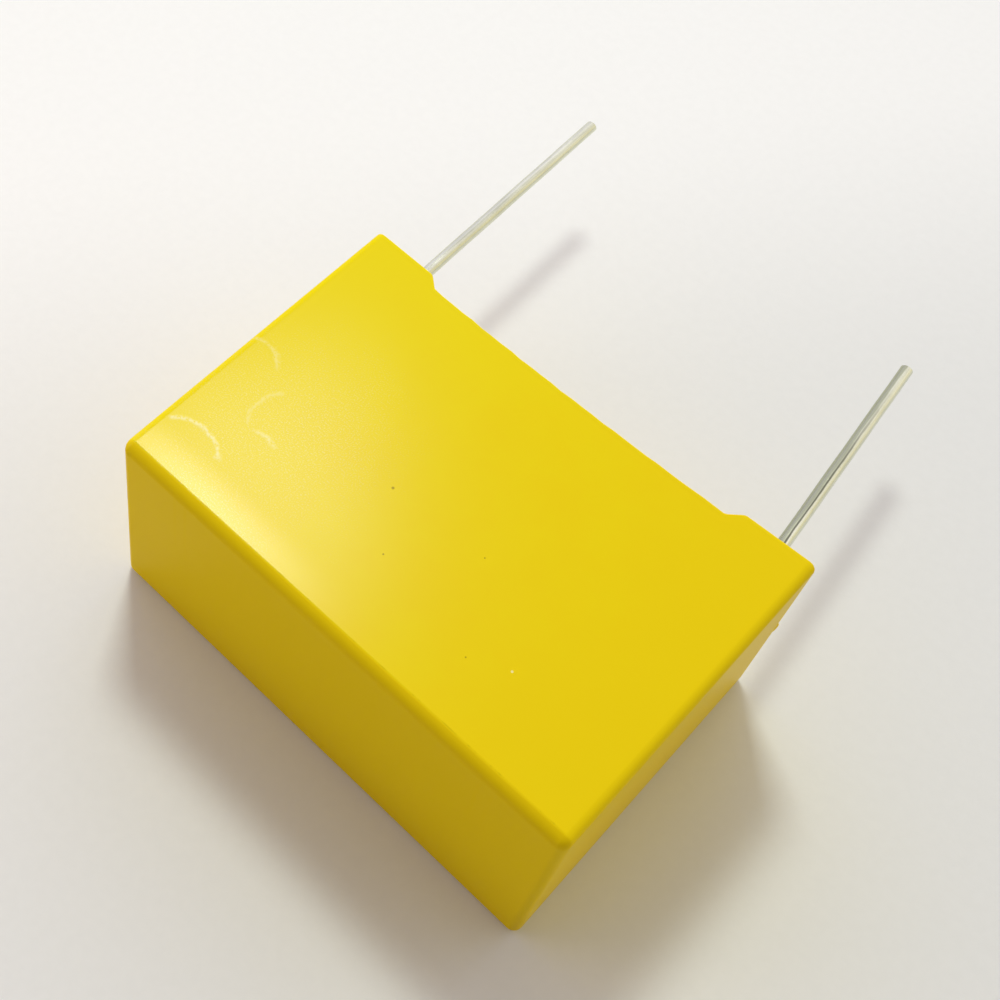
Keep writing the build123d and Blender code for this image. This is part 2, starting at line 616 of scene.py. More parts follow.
@dataclass(frozen=True)
class TinnedWire:
    """Bright tin plating over drawn copper wire, with lines along it and dull handling marks, and
    painted reflections: a grey shade on one side, a pale highlight near the case and a dark line.
    """

    # Share of painted shade on one side of the wire, a painted reflection of the dark room
    painted_reflection_shade: float
    bright: Triple = (0.78, 0.79, 0.62)
    dull: Triple = (0.68, 0.69, 0.54)
    # Colour of the dull spots, and of the painted shade on one side of the wire
    grey: Triple = (0.36, 0.38, 0.24)
    # Colour of the painted dark reflection line
    dark: Triple = (0.10, 0.11, 0.06)
    # Colour of the painted highlight
    white: Triple = (0.97, 0.98, 0.86)
    roughness: float = 0.17
    # Noise that is drawn out along the wire by these shares
    lines: Grain = Grain(11.0, 3.0, 0.6)
    line_run: float = 0.015
    line_height: float = 0.012
    smear: Grain = Grain(1.8, 3.0, 0.6)
    smear_run: float = 0.22
    smear_rough: float = 0.14
    tone: Span = (0.6, 0.4)
    tone_span: Span = (0.38, 0.62)
    # Place round the wire, from its side and its height
    turn: Span = (2.45, -0.5)
    turn_smear: float = 0.35
    turn_start: float = 0.2
    shade_span: Span = (0.02, -0.25)
    # Painted highlight: a pale line along the wire near where it leaves the case
    highlight_at: float = 0.28
    highlight_edge: Span = (0.24, 0.08)
    highlight_end: Span = (13.0, 1.0)
    highlight_share: float = 0.8
    # Painted reflection: a dark line along the wire, stronger on the more shaded lead
    dark_line_at: float = 0.04
    dark_line_edge: Span = (0.20, 0.06)
    dark_line_end: Span = (20.0, 9.0)
    dark_line_share: Span = (0.85, 0.05)
    spot: Grain = Grain(3.2, 3.0, 0.65)
    spot_span: Span = (0.62, 0.74)
    spot_share: float = 0.3
    spot_height: float = 0.010
    spot_rough: float = 0.12
    spot_rough_span: Span = (0.6, 0.75)

    def build(self, name: str, middle: Triple, lean: float) -> bpy.types.Material:
        """Makes the material for one lead.

        Args:
            name: Name of the material.
            middle: Point where the wire starts to lean, in millimetres.
            lean: Angle in radians that it leans towards -X from there.

        Returns:
            The finished material.
        """
        graph = Graph(name)
        x, y, z = graph.axes(graph.place())
        past = (y - middle[1]).most(0.0)
        across = x - middle[0] + past * tan(lean)
        depth = z - middle[2]
        lines = graph.noise(graph.point(across, y * self.line_run, depth), self.lines)
        smear = graph.noise(graph.point(across, y * self.smear_run, depth), self.smear)
        spots = graph.noise(graph.point(across, y, depth), self.spot)
        turn = across * self.turn[0] + depth * self.turn[1]
        turn = turn + (smear - 0.5) * self.turn_smear + self.turn_start

        tone = graph.step(smear * self.tone[0] + lines * self.tone[1], self.tone_span)
        colour = graph.mix(tone, self.dull, self.bright)
        # Painted reflection: grey shade on one side of the wire
        shade = graph.step(turn, self.shade_span) * self.painted_reflection_shade
        colour = graph.mix(shade, colour, self.grey)
        # Painted highlight along the wire near the case
        painted_highlight = graph.step(abs(turn - self.highlight_at), self.highlight_edge)
        painted_highlight = painted_highlight * graph.step(past, self.highlight_end)
        colour = graph.mix(painted_highlight * self.highlight_share, colour, self.white)
        # Painted reflection: dark line along the wire
        painted_dark_line = graph.step(abs(turn - self.dark_line_at), self.dark_line_edge)
        painted_dark_line = painted_dark_line * graph.step(past, self.dark_line_end)
        dark_line_share = self.painted_reflection_shade * self.dark_line_share[0] + self.dark_line_share[1]
        colour = graph.mix(painted_dark_line * dark_line_share, colour, self.dark)
        spotted = graph.step(spots, self.spot_span) * self.spot_share
        rough_spots = graph.step(spots, self.spot_rough_span) * self.spot_rough
        relief = graph.bump(lines, self.line_height)
        return graph.close({
            "Base Color": graph.mix(spotted, colour, self.grey),
            "Metallic": 1.0,
            "Roughness": (smear - 0.5) * self.smear_rough + rough_spots + self.roughness,
            "Normal": graph.bump(spots, self.spot_height, relief),
        })


@dataclass(frozen=True)
class InnerFinish:
    """Finish of a part that is shut inside: its colour, metal share and the run of its texture."""

    colour: Triple
    shade: Triple
    metallic: float
    roughness: float
    stretch: Triple
    relief: float
    layers: Grain = Grain(3.0, 4.0, 0.65)
    layer_span: Span = (0.35, 0.65)
    layer_rough: float = 0.2

    def build(self, name: str) -> bpy.types.Material:
        """Makes the material.

        Args:
            name: Name of the material.

        Returns:
            The finished material.
        """
        graph = Graph(name)
        sockets = {0: graph.place(), 1: self.stretch}
        point = graph.node("ShaderNodeVectorMath", {"operation": "MULTIPLY"}, sockets)
        layers = graph.noise(point, self.layers)
        return graph.close({
            "Base Color": graph.mix(graph.step(layers, self.layer_span), self.shade, self.colour),
            "Metallic": self.metallic,
            "Roughness": (layers - 0.5) * self.layer_rough + self.roughness,
            "Normal": graph.bump(layers, self.relief),
        })


@dataclass(frozen=True)
class PalePaper:
    """Matte off-white table covering with a faint fibre, painted paler towards the lit side as a
    pool of light.
    """

    colour: Triple = (0.815, 0.82, 0.815)
    # Painted light: the paper turns to this paler tone towards -X and +Y, where the window light
    # falls
    pale: Triple = (0.93, 0.93, 0.93)
    black: Triple = (0.0, 0.0, 0.0)
    roughness: float = 0.75
    specular: float = 0.2
    painted_light_run: Span = (-0.8, 0.6)
    painted_light_span: Span = (10.0, 42.0)
    fibre: Grain = Grain(1.4, 5.0, 0.6)
    fibre_span: Span = (0.7, 0.3)
    fibre_share: float = 0.015
    fibre_height: float = 0.01

    def build(self, name: str) -> bpy.types.Material:
        """Makes the material.

        Args:
            name: Name of the material.

        Returns:
            The finished material.
        """
        graph = Graph(name)
        point = graph.place()
        x, y, _ = graph.axes(point)
        fibre = graph.noise(point, self.fibre)
        # Painted pool of light, paler towards -X and +Y
        towards = x * self.painted_light_run[0] + y * self.painted_light_run[1]
        tone = graph.mix(graph.step(towards, self.painted_light_span), self.colour, self.pale)
        threads = graph.step(fibre, self.fibre_span) * self.fibre_share
        return graph.close({
            "Base Color": graph.mix(threads, tone, self.black),
            "Roughness": self.roughness,
            "Normal": graph.bump(fibre, self.fibre_height),
            "Specular IOR Level": self.specular,
        })


# ---- Handwork on a mesh ----------------------------------------------------------------------
class Pick(Enum):
    """What an edit-mode step works on."""

    POINTS = "VERT"
    EDGES = "EDGE"
    FACES = "FACE"


class Workpiece:
    """One mesh object in edit mode, shaped by Blender's own operators."""

    def __init__(self, name: str) -> None:
        """Takes the active object, fixes its place in its mesh and opens it.

        Args:
            name: Name of the piece.
        """
        self.obj = bpy.context.active_object
        self.obj.name = self.obj.data.name = name
        bpy.ops.object.transform_apply(location=True, rotation=True, scale=True)
        bpy.ops.object.mode_set(mode="EDIT")

    def cage(self) -> bmesh.types.BMesh:
        """Returns the mesh as it stands in edit mode."""
        return bmesh.from_edit_mesh(self.obj.data)

    def pick(self, kind: Pick, test: Callable[[Any], bool] = lambda item: True) -> None:
        """Selects what passes a test, and nothing else.

        Args:
            kind: Points, edges or faces.
            test: Says whether one of them is wanted; all are, unless it is given.
        """
        bpy.ops.mesh.select_mode(type=kind.value)
        bpy.ops.mesh.select_all(action="DESELECT")
        cage = self.cage()
        items = {Pick.POINTS: cage.verts, Pick.EDGES: cage.edges, Pick.FACES: cage.faces}[kind]
        for item in [item for item in items if test(item)]:
            item.select_set(True)
        cage.select_flush_mode()
        bmesh.update_edit_mesh(self.obj.data)

    def cut(
        self, point: Sequence[float], normal: Sequence[float], keep_beyond: bool = True
    ) -> None:
        """Cuts the whole mesh along a plane.

        Args:
            point: Point on the plane.
            normal: Direction that the plane faces.
            keep_beyond: Whether what lies beyond the plane stays; without it the cut is closed.
        """
        bpy.ops.mesh.select_mode(type="FACE")
        bpy.ops.mesh.select_all(action="SELECT")
        bpy.ops.mesh.bisect(
            plane_co=point, plane_no=normal, threshold=NEAR / 10,
            clear_outer=not keep_beyond, use_fill=not keep_beyond,
        )

    def shift(self, offset: Sequence[float]) -> None:
        """Moves what is selected."""
        bpy.ops.transform.translate(value=offset)

    def squeeze(self, factors: Sequence[float], about: Sequence[float]) -> None:
        """Scales what is selected about a point."""
        bpy.ops.transform.resize(value=factors, center_override=about)

    def pull(self, offset: Sequence[float]) -> None:
        """Extrudes the selected faces as one region."""
        bpy.ops.mesh.extrude_region_move(TRANSFORM_OT_translate={"value": offset})

    def round_off(self, radius: float, segments: int) -> None:
        """Bevels the selected edges."""
        bpy.ops.mesh.bevel(offset=radius, segments=segments, profile=0.5, affect="EDGES")

    def close(self, smooth_under: float = 40.0) -> bpy.types.Object:
        """Merges doubles, turns faces outwards, leaves edit mode and smooths the shading.

        Args:
            smooth_under: Largest angle in degrees between faces that shade as one surface.

        Returns:
            The finished object.
        """
        bpy.ops.mesh.select_mode(type="VERT")
        bpy.ops.mesh.select_all(action="SELECT")
        bpy.ops.mesh.remove_doubles(threshold=NEAR / 8)
        bpy.ops.mesh.normals_make_consistent(inside=False)
        bpy.ops.object.mode_set(mode="OBJECT")
        bpy.ops.object.shade_smooth_by_angle(angle=radians(smooth_under))
        weighted = self.obj.modifiers.new("even_normals", "WEIGHTED_NORMAL")
        weighted.keep_sharp = True
        bpy.ops.object.modifier_apply(modifier=weighted.name)
        self.obj.select_set(False)
        return self.obj


def clear_selection() -> None:
    """Deselects every object, so that the next primitive stands alone."""
    bpy.ops.object.select_all(action="DESELECT")


def middle_of(edge: Any) -> Vector:
    """Returns the middle of an edge."""
    return (edge.verts[0].co + edge.verts[1].co) / 2


# ---- Moulded case ----------------------------------------------------------------------------
@dataclass
class MouldedCase:
    """The open-mouthed box: drafted walls, standoff feet, sunken rim and soft edges."""

    wall: float = 0.9 * MM
    closed_wall: float = 1.0 * MM
    draft: float = radians(0.5)
    smooth_under: float = 34.0
    # Roundings
    edge_radius: float = 0.56 * MM
    edge_segments: int = 6
    inner_radius: float = 0.45 * MM
    inner_segments: int = 4
    inner_reach: float = 1.4 * MM
    inner_slack: float = 0.3 * MM
    lip_radius: float = 0.15 * MM
    lip_segments: int = 3
    inner_lip_radius: float = 0.08 * MM
    inner_lip_segments: int = 2
    # Chamfer and fine crease along the closed end's upper edge
    crease_inset: float = 0.62 * MM
    crease_fall: float = 0.23 * MM
    crease_width: float = 0.05 * MM
    crease_depth: float = 0.015 * MM
    crease_slack: float = 0.02 * MM
    # Feet, and the rim between them
    standoff: float = 0.9 * MM
    foot_fall: float = 0.16 * MM
    foot_length: float = 4.5 * MM
    shoulder_run: float = 0.8 * MM
    shoulder_radius: float = 0.4 * MM
    rim_sag: float = 0.2 * MM
    rim_waver: float = 0.03 * MM
    rim_waves: Span = (2.3, 4.1)
    rim_steps: int = 14
    # Faces that meet along the mouth's outline: how far each looks along Y
    wall_look: float = 0.3
    rim_look: float = 0.6
    # Moulding burr on the end wall's outer lip
    burr_height: float = 7.6 * MM
    burr_size: float = 0.55 * MM
    burr_drop: float = 0.45 * MM
    burr_inset: float = 0.4 * MM
    burr_look: float = 0.2
    burr_pull: Triple = (0.10 * MM, 0.16 * MM, 0.02 * MM)
    burr_taper: Triple = (0.6, 0.8, 0.45)
    burr_sink: float = 0.05 * MM

    def __post_init__(self) -> None:
        """Reads the box that the case fills from the frame."""
        self.low, self.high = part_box("case")
        self.half = (self.high.x - self.low.x) / 2
        self.depth = self.high.z - self.low.z
        self.crest = self.half - self.foot_length
        self.base = self.crest - self.shoulder_run
        self.rim = self.high.y - self.standoff
        self.lip_y = self.rim - self.rim_sag - self.lip_radius
        self.fall = self.foot_fall / self.foot_length
        self.slope = (self.standoff - self.foot_fall) / self.shoulder_run
        self.crease_y = self.low.y + self.crease_inset

    def bends(self) -> tuple[Triple, ...]:
        """Returns the rim's corners from the middle out, with the slope before and after each."""
        sag = 2 * self.rim_sag / self.base
        return (self.base, sag, self.slope), (self.crest, self.slope, self.fall)

    def turn(self, before: float, after: float) -> float:
        """Returns how far each side of a corner its rounding reaches, from the slopes there."""
        return self.shoulder_radius * tan(abs(atan2(after - before, 1.0 + after * before)) / 2)

    def rim_height(self, x: float) -> float:
        """Works out Y of the long walls' rim.

        Args:
            x: Place along the wall, from its middle.

        Returns:
            Height of the foot, the shoulder or the sagging rim there.
        """
        away = abs(x)
        if away < self.base:
            waves = sin(self.rim_waves[0] * x / MM) + sin(self.rim_waves[1] * x / MM + 1.0)
            height = self.rim - self.rim_sag * (1 - (away / self.base) ** 2)
            height += self.rim_waver * waves / 2
        else:
            height = self.rim + self.slope * (min(away, self.crest) - self.base)
            height += self.fall * max(away - self.crest, 0.0)
        for place, before, after in self.bends():
            turn = self.turn(before, after)
            height += (after - before) * max(turn - abs(away - place), 0.0) ** 2 / (4 * turn)
        return height

    def stations(self) -> list[float]:
        """Lists the places where the rim changes direction.

        Returns:
            Places along X, from end to end.
        """
        places = [self.base * share / self.rim_steps for share in range(self.rim_steps)]
        for corner, before, after in self.bends():
            turn = self.turn(before, after)
            places += [corner + turn * share for share in (-1.0, -0.5, 0.0, 0.5, 1.0)]
        return sorted({side * place for place in places for side in (-1, 1)})

    def off_middle(self, point: Vector) -> float:
        """Returns how far a point is above or below the middle of the case."""
        return abs(point.z - self.depth / 2)

    def is_mouth(self, edge: Any, outer: bool) -> bool:
        """Tests whether an edge is on the outline of the mouth.

        Args:
            edge: The edge.
            outer: Whether the outer outline is meant, or else the inner one.

        Returns:
            Whether it is on that outline.
        """
        if len(edge.link_faces) != 2:
            return False
        middle = middle_of(edge)
        flat, steep = sorted(abs(face.normal.y) for face in edge.link_faces)
        outside = (
            abs(middle.x) > self.half - self.wall / 2
            or self.off_middle(middle) > self.depth / 2 - self.wall / 2
        )
        folded = flat < self.wall_look and steep > self.rim_look
        return middle.y > self.lip_y and folded and outside == outer

    def is_inner_corner(self, edge: Any) -> bool:
        """Tests whether an edge runs up a corner of the cavity.

        Args:
            edge: The edge.

        Returns:
            Whether it does.
        """
        run = edge.verts[0].co - edge.verts[1].co
        middle = middle_of(edge)
        inner = self.depth / 2 - self.wall
        return (
            abs(run.y) > FACING * run.length
            and run.length > LONG
            and abs(middle.x) > self.half - self.inner_reach
            and inner - self.inner_slack < self.off_middle(middle) < inner + NEAR
        )

    def is_outer_edge(self, edge: Any) -> bool:
        """Tests whether an edge is an outer one that is rounded, which the crease isn't.

        Args:
            edge: The edge.

        Returns:
            Whether it is one of those.
        """
        ends = [vert.co for vert in edge.verts]
        normals = [face.normal for face in edge.link_faces]
        on_hull = all(
            self.off_middle(end) > self.depth / 2 - NEAR or end.y < self.crease_y + NEAR
            for end in ends
        )
        at_mouth = all(end.y > self.lip_y for end in ends)
        crisp = all(
            abs(end.y - self.crease_y) < NEAR and end.z > self.depth - NEAR for end in ends
        )
        folded = len(normals) == 2 and normals[0].dot(normals[1]) < FACING
        return folded and on_hull and not at_mouth and not crisp

    def is_burr(self, face: Any) -> bool:
        """Tests whether a face is on the outer lip at the burr's height.

        Args:
            face: The face.

        Returns:
            Whether it is.
        """
        middle = face.calc_center_median()
        return (
            middle.x > self.half - self.burr_inset
            and middle.y > self.high.y - self.burr_drop
            and abs(middle.z - self.burr_height) < self.burr_size / 2
            and face.normal.x > self.burr_look
        )

    def open_mouth(self, piece: Workpiece) -> None:
        """Insets the mouth by the wall and sinks the cavity with its draft.

        Args:
            piece: The block, with its ends already drafted.
        """
        piece.pick(Pick.FACES, lambda face: face.normal.y > FACING)
        bpy.ops.mesh.inset(thickness=self.wall, depth=0.0, use_boundary=True)
        depth = self.high.y - self.low.y - self.closed_wall
        narrowing = 2 * depth * tan(self.draft)
        inner = (2 * (self.half - self.wall), self.depth - 2 * self.wall)
        piece.pull((0.0, -depth, 0.0))
        piece.squeeze(
            (1 - narrowing / inner[0], 1.0, 1 - narrowing / inner[1]),
            (0.0, self.low.y + self.closed_wall, self.depth / 2),
        )

    def sink_rim(self, piece: Workpiece) -> None:
        """Lowers the long walls' rim between the feet, one station at a time.

        Args:
            piece: The open box.
        """
        top, inner = self.high.y, self.half - self.wall
        for x in (-inner, *self.stations(), inner):
            piece.pick(
                Pick.POINTS,
                lambda vert, x=x: vert.co.y > top - NEAR and abs(vert.co.x - x) < NEAR,
            )
            piece.shift((0.0, self.rim_height(x) - top, 0.0))

    def flatten_closed_edge(self, piece: Workpiece) -> None:
        """Chamfers the closed end's upper edge, which stays crisp where the top face starts.

        Args:
            piece: The open box with its rim sunk.
        """
        piece.pick(Pick.EDGES, lambda edge: all(
            vert.co.y < self.low.y + NEAR and vert.co.z > self.depth - NEAR for vert in edge.verts
        ))
        piece.round_off(self.crease_inset, 1)
        foot = self.depth - self.crease_inset
        piece.pick(
            Pick.POINTS,
            lambda vert: vert.co.y < self.low.y + NEAR and abs(vert.co.z - foot) < NEAR,
        )
        piece.shift((0.0, 0.0, self.crease_inset - self.crease_fall))

    def press_crease(self, piece: Workpiece) -> None:
        """Presses a fine line into the upper face where the closed end's edge begins.

        Args:
            piece: The case with its edges rounded.
        """
        piece.pick(Pick.EDGES, lambda edge: all(
            abs(vert.co.y - self.crease_y) < self.crease_slack and vert.co.z > self.depth - NEAR
            for vert in edge.verts
        ))
        piece.round_off(self.crease_width, 2)
        piece.pick(Pick.POINTS, lambda vert: (
            abs(vert.co.y - self.crease_y) < self.crease_width / 3
            and vert.co.z > self.depth - self.crease_slack
        ))
        piece.shift((0.0, 0.0, -self.crease_depth))

    def raise_burr(self, piece: Workpiece) -> None:
        """Draws a small moulding burr out of the end wall's outer lip.

        Args:
            piece: The case with its edges rounded.
        """
        for side in (-0.5, 0.5):
            piece.cut((0.0, 0.0, self.burr_height + side * self.burr_size), (0.0, 0.0, 1.0))
        piece.cut((0.0, self.high.y - self.burr_drop, 0.0), (0.0, 1.0, 0.0))
        piece.pick(Pick.FACES, self.is_burr)
        piece.pull(self.burr_pull)
        root = (self.half, self.high.y, self.burr_height - self.burr_sink)
        piece.squeeze(self.burr_taper, root)

    def build(self) -> bpy.types.Object:
        """Models the case from one block.

        Returns:
            The case as a closed mesh.
        """
        clear_selection()
        size = self.high - self.low
        bpy.ops.mesh.primitive_cube_add(size=1.0, location=(self.low + self.high) / 2, scale=size)
        piece = Workpiece("moulded_case")
        piece.pick(Pick.POINTS, lambda vert: vert.co.y < 0)
        closed = 1 - size.y * tan(self.draft) / self.half
        piece.squeeze((closed, 1.0, 1.0), (0.0, self.low.y, 0.0))
        for place in self.stations():
            piece.cut((place, 0.0, 0.0), (1.0, 0.0, 0.0))
        self.open_mouth(piece)
        self.sink_rim(piece)
        piece.pick(Pick.EDGES, self.is_inner_corner)
        piece.round_off(self.inner_radius, self.inner_segments)
        self.flatten_closed_edge(piece)
        piece.pick(Pick.EDGES, self.is_outer_edge)
        piece.round_off(self.edge_radius, self.edge_segments)
        piece.pick(Pick.EDGES, lambda edge: self.is_mouth(edge, outer=True))
        piece.round_off(self.lip_radius, self.lip_segments)
        piece.pick(Pick.EDGES, lambda edge: self.is_mouth(edge, outer=False))
        piece.round_off(self.inner_lip_radius, self.inner_lip_segments)
        self.press_crease(piece)
        self.raise_burr(piece)
        return piece.close(self.smooth_under)


# ---- Leads -----------------------------------------------------------------------------------
@dataclass
class LeadWire:
    """One round tinned lead: welded run, straight exit, slight bend and a straight free end."""

    node: str
    resin_y: float
    exit_run: float = 2.4 * MM
    bend_radius: float = 6.0 * MM
    bend_steps: int = 5
    sides: int = 40
    below_exit: Span = (0.6, 0.4)
    # The free end's slight waver
    runs: int = 10
    waver: float = 0.008 * MM
    wave_turn: float = 2.1
    wave_tilt: float = 0.8
    wave_height: float = 0.6

    def __post_init__(self) -> None:
        """Reads the wire's thickness, its two ends and its lean from its CAD node's box."""
        low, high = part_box(self.node)
        self.radius = (high.z - low.z) / 2
        self.root = Vector((high.x - self.radius, low.y, (low.z + high.z) / 2))
        self.bend_y = self.resin_y + self.exit_run
        self.tip_y = high.y
        self.lean = atan2(self.root.x - low.x - self.radius, self.tip_y - self.bend_y)

    def build(self) -> bpy.types.Object:
        """Models the wire along its run.

        Returns:
            The wire as a closed mesh.
        """
        clear_selection()
        bpy.ops.mesh.primitive_circle_add(
            vertices=self.sides, radius=self.radius, fill_type="NGON",
            location=self.root, rotation=(radians(-90), 0.0, 0.0),
        )
        piece = Workpiece(f"tinned_{self.node}")
        piece.pick(Pick.FACES)
        bend_start = self.bend_y - self.bend_radius * tan(self.lean / 2)
        for share in self.below_exit:
            piece.pull((0.0, (bend_start - self.root.y) * share, 0.0))
        pivot = Vector((self.root.x - self.bend_radius, bend_start, self.root.z))
        angle = self.lean / self.bend_steps
        for _ in range(self.bend_steps):
            piece.pull((0.0, 0.0, 0.0))
            bpy.ops.transform.rotate(value=-angle, orient_axis="Z", center_override=pivot)
        straight = (self.tip_y - self.end_of(piece)) / cos(self.lean)
        along = Vector((-sin(self.lean), cos(self.lean), 0.0))
        last = Vector()
        for turn in range(1, self.runs + 1):
            phase = self.wave_turn * turn + self.root.x / MM
            sway = Vector((sin(phase), 0.0, self.wave_height * cos(self.wave_tilt * phase)))
            sway = sway * self.waver * (turn < self.runs)
            piece.pull(along * (straight / self.runs) + sway - last)
            last = sway
        return piece.close()

    @staticmethod
    def end_of(piece: Workpiece) -> float:
        """Returns Y of the middle of the wire's free end in edit mode."""
        ends = [vert.co.y for vert in piece.cage().verts if vert.select]
        return (min(ends) + max(ends)) / 2


# ---- Potting resin ---------------------------------------------------------------------------
@dataclass
class ResinFill:
    """The set resin: a block under the rim, dished at its face and drawn up each lead."""

    corner_radius: float = 0.45 * MM
    corner_segments: int = 4
    into_wall: float = 0.02 * MM
    block_smooth: float = 50.0
    # Face of the block, from the wall to its middle
    climb: float = 0.30 * MM
    slope: float = 1.0 * MM
    dish: float = 0.25 * MM
    dish_steps: int = 6
    dish_curve: float = 2.2
    # Hollow-sided ring round each lead
    collar: float = 0.45 * MM
    collar_spread: float = 1.4
    collar_root: float = 0.5 * MM
    collar_sides: int = 32
    collar_angles: tuple[float, ...] = (20, 40, 60, 80)
    collar_smooth: float = 60.0

    def __post_init__(self) -> None:
        """Reads the box that the resin fills from the frame, whose top is that of the collars."""
        self.low, self.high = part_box("potting_resin")
        self.level = self.high.y - self.collar

    def build_collar(self, lead: LeadWire) -> bpy.types.Object:
        """Models the hollow-sided ring of resin round one lead.

        Args:
            lead: The lead that the resin climbs.

        Returns:
            The ring as a closed mesh, which runs down into the block.
        """
        clear_selection()
        spread = self.collar * self.collar_spread
        reach = lead.radius + spread
        x, z = lead.root.x, lead.root.z
        bpy.ops.mesh.primitive_circle_add(
            vertices=self.collar_sides, radius=reach, fill_type="NGON",
            location=(x, self.level - self.collar_root, z), rotation=(radians(-90), 0.0, 0.0),
        )
        piece = Workpiece("resin_collar")
        piece.pick(Pick.FACES)
        piece.pull((0.0, self.collar_root, 0.0))
        for angle in self.collar_angles:
            wide = lead.radius + spread * (1 - sin(radians(angle)))
            up = self.level + self.collar * (1 - cos(radians(angle)))
            piece.pull((0.0, up - self.top_of(piece), 0.0))
            piece.squeeze((wide / reach, 1.0, wide / reach), (x, up, z))
            reach = wide
        end = self.high.x + self.into_wall
        for side in (-1, 1):
            piece.cut((side * end, 0.0, 0.0), (side, 0.0, 0.0), keep_beyond=False)
        return piece.close(self.collar_smooth)

    @staticmethod
    def top_of(piece: Workpiece) -> float:
        """Returns the highest Y of a piece in edit mode."""
        return max(vert.co.y for vert in piece.cage().verts)

    def build_block(self) -> bpy.types.Object:
        """Models the block with its dished face.

        Returns:
            The block as a closed mesh.
        """
        clear_selection()
        grow = Vector((self.into_wall, 0.0, self.into_wall))
        low, high = self.low - grow, self.high + grow
        high.y = self.level + self.dish
        bpy.ops.mesh.primitive_cube_add(size=1.0, location=(low + high) / 2, scale=high - low)
        piece = Workpiece("resin_fill")
        piece.pick(Pick.EDGES, lambda edge: abs(edge.verts[0].co.y - edge.verts[1].co.y) > LONG)
        piece.round_off(self.corner_radius, self.corner_segments)
        piece.pick(Pick.FACES, lambda face: face.normal.y > FACING)
        size = high - low
        margin = 2 * (self.climb + self.slope) / self.dish_steps
        for step in range(self.dish_steps):
            inner, outer = (step + 1) / self.dish_steps, step / self.dish_steps
            drop = self.dish * ((1 - outer) ** self.dish_curve - (1 - inner) ** self.dish_curve)
            piece.pull((0.0, -drop, 0.0))
            squeeze = (1 - margin / size.x, 1.0, 1 - margin / size.z)
            piece.squeeze(squeeze, (0.0, high.y, (low.z + high.z) / 2))
            size = Vector((size.x - margin, size.y, size.z - margin))
        return piece.close(self.block_smooth)

    def build(self, leads: Sequence[LeadWire]) -> bpy.types.Object:
        """Models the resin as one closed piece.

        Args:
            leads: Both leads, which the resin climbs.

        Returns:
            The resin, with a collar round each lead.
        """
        collars = [self.build_collar(lead) for lead in leads]
        resin = self.build_block()
        for collar in collars:
            clear_selection()
            resin.select_set(True)
            bpy.context.view_layer.objects.active = resin
            union = resin.modifiers.new("collar", "BOOLEAN")
            union.operation, union.solver, union.object = "UNION", "EXACT", collar
            bpy.ops.object.modifier_apply(modifier=union.name)
            bpy.data.objects.remove(collar)
        return resin


# ---- Studio ----------------------------------------------------------------------------------
@dataclass(frozen=True)
class SoftLight:
    """A square soft light that faces the object."""

    name: str
    towards: Triple
    distance: float
    size: float
    power: float
    colour: Triple

    def build(self, subject: Vector) -> None:
        """Hangs the light.

        Args:
            subject: Point that the light faces.
        """
        data = bpy.data.lights.new(self.name, "AREA")
        data.size = self.size
        data.energy = self.power
        data.color = self.colour
        obj = bpy.data.objects.new(self.name, data)
        bpy.context.scene.collection.objects.link(obj)
        away = Vector(self.towards).normalized()
        obj.location = subject + away * self.distance
        obj.rotation_euler = away.to_track_quat("Z", "Y").to_euler()


@dataclass(frozen=True)
class Camera:
    """The camera: where it stands, where it looks and how its frame is moved off its axis."""

    place: Triple = (0.019728, -0.040102, 0.091363)
    heading: float = radians(132.02)
    dip: float = radians(53.21)
    roll: float = radians(3.48)
    lens: float = 57.86
    sensor: float = 36.0
    shift: Span = (0.25, -0.22)
    clip: Span = (0.001, 10.0)

    def build(self) -> None:
        """Stands the camera and makes it the scene's own."""
        data = bpy.data.cameras.new("camera")
        data.lens = self.lens
        data.sensor_width = self.sensor
        data.shift_x, data.shift_y = self.shift
        data.clip_start, data.clip_end = self.clip
        obj = bpy.data.objects.new("camera", data)
        bpy.context.scene.collection.objects.link(obj)
        level = cos(self.dip)
        ahead = Vector((level * cos(self.heading), level * sin(self.heading), -sin(self.dip)))
        right = ahead.cross(Vector((0.0, 0.0, 1.0))).normalized()
        up = right.cross(ahead)
        rolled_right = right * cos(self.roll) + up * sin(self.roll)
        rolled_up = up * cos(self.roll) - right * sin(self.roll)
        turn = Matrix((rolled_right, rolled_up, -ahead)).transposed().to_4x4()
        obj.matrix_world = Matrix.Translation(self.place) @ turn
        bpy.context.scene.camera = obj


@dataclass(frozen=True)
class Glow:
    """A broad patch of room light, or with a negative strength something dark that hides it."""

    towards: Triple
    narrowness: float
    strength: float
    colour: Triple


